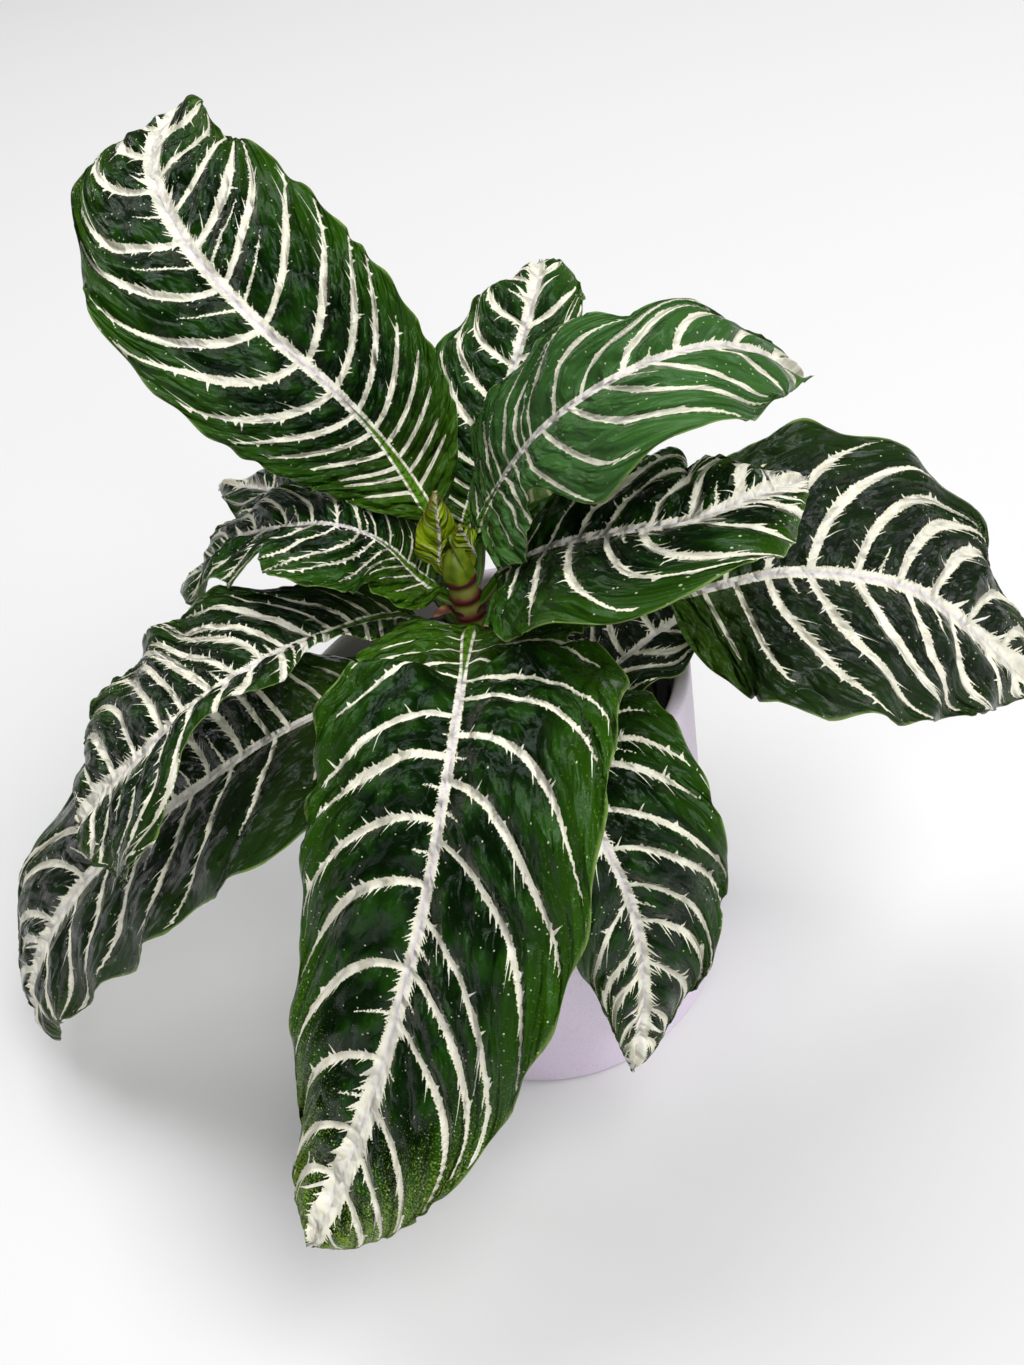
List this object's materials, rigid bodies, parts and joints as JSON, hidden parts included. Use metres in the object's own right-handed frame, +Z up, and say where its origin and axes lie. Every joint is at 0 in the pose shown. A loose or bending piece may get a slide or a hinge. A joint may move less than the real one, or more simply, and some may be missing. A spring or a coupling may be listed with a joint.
{
  "type": "potted zebra plant",
  "caption": "Young house plant with broad, arching, waved leaves on one stem, standing in soil in a plastic nursery pot inside a round, slightly tapered ceramic pot.",
  "frame": {"origin": "middle of the ceramic pot's flat foot, on the table", "axes": "+Z up along the pot's axis; +Y away from the side that the picture was taken from; +X to the right as seen from that side"},
  "size_m": [0.4157, 0.3183, 0.3314],
  "materials": {
    "lilac_ceramic": "satin",
    "black_plastic": "matte",
    "potting_soil": "matte",
    "green_stem": "satin",
    "leaf_blade": "gloss",
    "young_leaf": "satin"
  },
  "bodies": {
    "root": {"pot": "lilac_ceramic", "nursery_pot": "black_plastic", "soil": "potting_soil", "stem": "green_stem", "leaf_front": "leaf_blade", "leaf_back_left": "leaf_blade", "leaf_back": "leaf_blade", "leaf_right_upper": "leaf_blade", "leaf_right": "leaf_blade", "leaf_far_right": "leaf_blade", "leaf_left": "leaf_blade", "leaf_left_lower": "leaf_blade", "leaf_front_right": "leaf_blade", "leaf_left_small": "leaf_blade", "leaf_back_low": "leaf_blade", "leaf_right_low": "leaf_blade", "leaf_small_front": "leaf_blade", "leaf_small_right": "leaf_blade", "young_leaf_tall": "young_leaf", "young_leaf_short": "young_leaf"}
  },
  "joints": []
}
